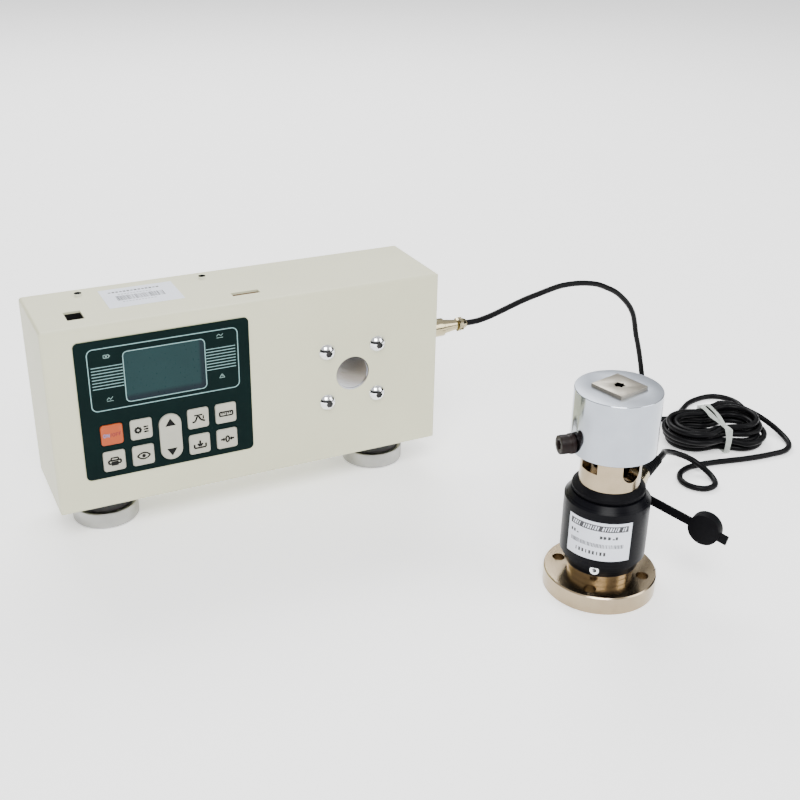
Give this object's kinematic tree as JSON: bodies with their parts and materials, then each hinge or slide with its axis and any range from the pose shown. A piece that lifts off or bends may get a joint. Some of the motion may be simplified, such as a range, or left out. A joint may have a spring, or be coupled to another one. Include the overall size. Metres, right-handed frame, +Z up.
{
  "type": "torque tester",
  "caption": "Bench torque tester: display case with keys, flanged torque sensor with clamp-on adapter cap, and a hanked cable.",
  "frame": {"origin": "middle of the sensor flange's bolt circle, on the surface that everything stands on", "axes": "+X along the case towards its cable side, +Y from the case's front to its back, +Z up along the sensor's axis"},
  "size_m": [0.6214, 0.3309, 0.172],
  "materials": {
    "shell_paint": "smooth satin powder coat",
    "steel_satin": "satin turned",
    "chrome": "mirror polished",
    "nickel": "nickel plated, turned",
    "brass": "turned",
    "rubber_black": "matt",
    "cable_black": "smooth pvc",
    "plastic_black": "moulded",
    "anodised_black": "black anodised, satin",
    "overlay_green": "printed polyester film",
    "window": "clear tinted pane",
    "key_grey": "soft satin",
    "key_orange": "soft satin",
    "board": "printed circuit board",
    "cell_wrap": "shrink wrap",
    "socket_brown": "moulded",
    "paper": "coated label",
    "tie_film": "translucent film"
  },
  "bodies": {
    "root": {"housing_shell": "shell_paint", "rear_cover": "shell_paint", "rear_cover_screws": "chrome", "foot_ring_left": "steel_satin", "foot_ring_right": "steel_satin", "foot_rubber_left": "rubber_black", "foot_rubber_right": "rubber_black", "foot_screws": "steel_satin", "panel_overlay": "overlay_green", "lcd_window": "window", "lcd_module": "steel_satin", "key_board": "board", "key_switches": "plastic_black", "board_posts": "brass", "board_screws": "chrome", "main_board": "board", "battery_bracket": "steel_satin", "battery_pack": "cell_wrap", "bracket_screws": "chrome", "data_socket": "plastic_black", "card_socket": "socket_brown", "top_label": "paper", "mount_plate": "steel_satin", "panel_bolts": "chrome", "blank_plug": "chrome", "panel_socket": "nickel", "socket_nut": "nickel", "plug_barrel": "nickel", "plug_gland": "chrome", "cable_run_case": "cable_black", "cable_hank": "cable_black", "cable_run_sensor": "cable_black", "cable_tie": "tie_film", "sensor_element": "nickel", "lower_ring": "anodised_black", "set_screws": "chrome", "sensor_sleeve": "anodised_black", "top_seal": "rubber_black", "strain_gauges": "brass", "sensor_label": "paper", "sensor_socket": "plastic_black", "sensor_plug": "nickel", "sensor_boot": "rubber_black"},
    "key_power": {"key_power": "key_orange"},
    "key_print": {"key_print": "key_grey"},
    "key_set": {"key_set": "key_grey"},
    "key_view": {"key_view": "key_grey"},
    "key_arrows": {"key_arrows": "key_grey"},
    "key_peak": {"key_peak": "key_grey"},
    "key_save": {"key_save": "key_grey"},
    "key_unit": {"key_unit": "key_grey"},
    "key_zero": {"key_zero": "key_grey"},
    "plug_ring": {"plug_ring": "nickel"},
    "sensor_plug_ring": {"sensor_plug_ring": "nickel"},
    "dust_cap": {"dust_cap": "rubber_black"},
    "adapter_cap": {"adapter_cap": "chrome"},
    "clamp_screw": {"clamp_screw": "anodised_black"},
    "drive_insert": {"drive_insert": "nickel"}
  },
  "joints": [
    {"name": "key_power_press", "type": "slide", "parent": "root", "child": "key_power", "axis": [0, 1, 0], "range_m": [0, 0.0004], "stiffness_N_per_m": 400},
    {"name": "key_print_press", "type": "slide", "parent": "root", "child": "key_print", "axis": [0, 1, 0], "range_m": [0, 0.0004], "stiffness_N_per_m": 400},
    {"name": "key_set_press", "type": "slide", "parent": "root", "child": "key_set", "axis": [0, 1, 0], "range_m": [0, 0.0004], "stiffness_N_per_m": 400},
    {"name": "key_view_press", "type": "slide", "parent": "root", "child": "key_view", "axis": [0, 1, 0], "range_m": [0, 0.0004], "stiffness_N_per_m": 400},
    {"name": "key_peak_press", "type": "slide", "parent": "root", "child": "key_peak", "axis": [0, 1, 0], "range_m": [0, 0.0004], "stiffness_N_per_m": 400},
    {"name": "key_save_press", "type": "slide", "parent": "root", "child": "key_save", "axis": [0, 1, 0], "range_m": [0, 0.0004], "stiffness_N_per_m": 400},
    {"name": "key_unit_press", "type": "slide", "parent": "root", "child": "key_unit", "axis": [0, 1, 0], "range_m": [0, 0.0004], "stiffness_N_per_m": 400},
    {"name": "key_zero_press", "type": "slide", "parent": "root", "child": "key_zero", "axis": [0, 1, 0], "range_m": [0, 0.0004], "stiffness_N_per_m": 400},
    {"name": "key_arrows_rock", "type": "hinge", "parent": "root", "child": "key_arrows", "pos_m": [-0.2485, 0.2044, 0.0752], "axis": [1, 0, 0], "range_deg": [-1.2, 1.2], "stiffness_Nm_per_rad": 0.05},
    {"name": "plug_ring_turn", "type": "hinge", "parent": "root", "child": "plug_ring", "pos_m": [-0.015, 0.238, 0.107], "axis": [1, 0, 0], "continuous": true},
    {"name": "sensor_plug_ring_turn", "type": "hinge", "parent": "root", "child": "sensor_plug_ring", "pos_m": [0.03841, 0.02042, 0.062], "axis": [0.8829, 0.4695, 0], "continuous": true},
    {"name": "dust_cap_swing", "type": "hinge", "parent": "root", "child": "dust_cap", "pos_m": [0.02914, 0.01549, 0.062], "axis": [0.8829, 0.4695, 0], "range_deg": [-25, 28]},
    {"name": "adapter_cap_lift", "type": "slide", "parent": "root", "child": "adapter_cap", "axis": [0, 0, 1], "range_m": [0, 0.038]},
    {"name": "clamp_screw_back_out", "type": "slide", "parent": "adapter_cap", "child": "clamp_screw", "axis": [-0.9816, 0.1908, 0], "range_m": [0, 0.006]},
    {"name": "drive_insert_lift", "type": "slide", "parent": "adapter_cap", "child": "drive_insert", "axis": [0, 0, 1], "range_m": [0, 0.008]}
  ]
}
